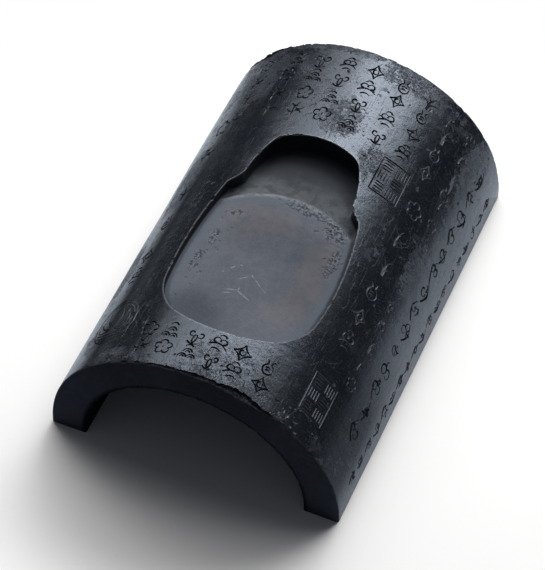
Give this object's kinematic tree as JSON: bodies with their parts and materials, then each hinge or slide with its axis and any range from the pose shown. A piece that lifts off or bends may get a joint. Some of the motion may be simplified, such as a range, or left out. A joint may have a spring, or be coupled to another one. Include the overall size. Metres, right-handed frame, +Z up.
{
  "type": "ink stone",
  "caption": "Carved ink stone in the shape of a half-round roof tile, with a flask-shaped recess in its back that holds a domed grinding bed and a sloping ink well.",
  "frame": {"origin": "centre of the tile in plan, on the table under its two feet", "axes": "+X across the tile, +Y along the tile from the grinding bed towards the ink well, +Z up"},
  "size_m": [0.15, 0.222, 0.0768],
  "materials": {
    "stone": "hand-polished blue-black ink stone, semi-matt, worn pale along its edges"
  },
  "bodies": {
    "root": {"stone": "stone"}
  },
  "joints": []
}
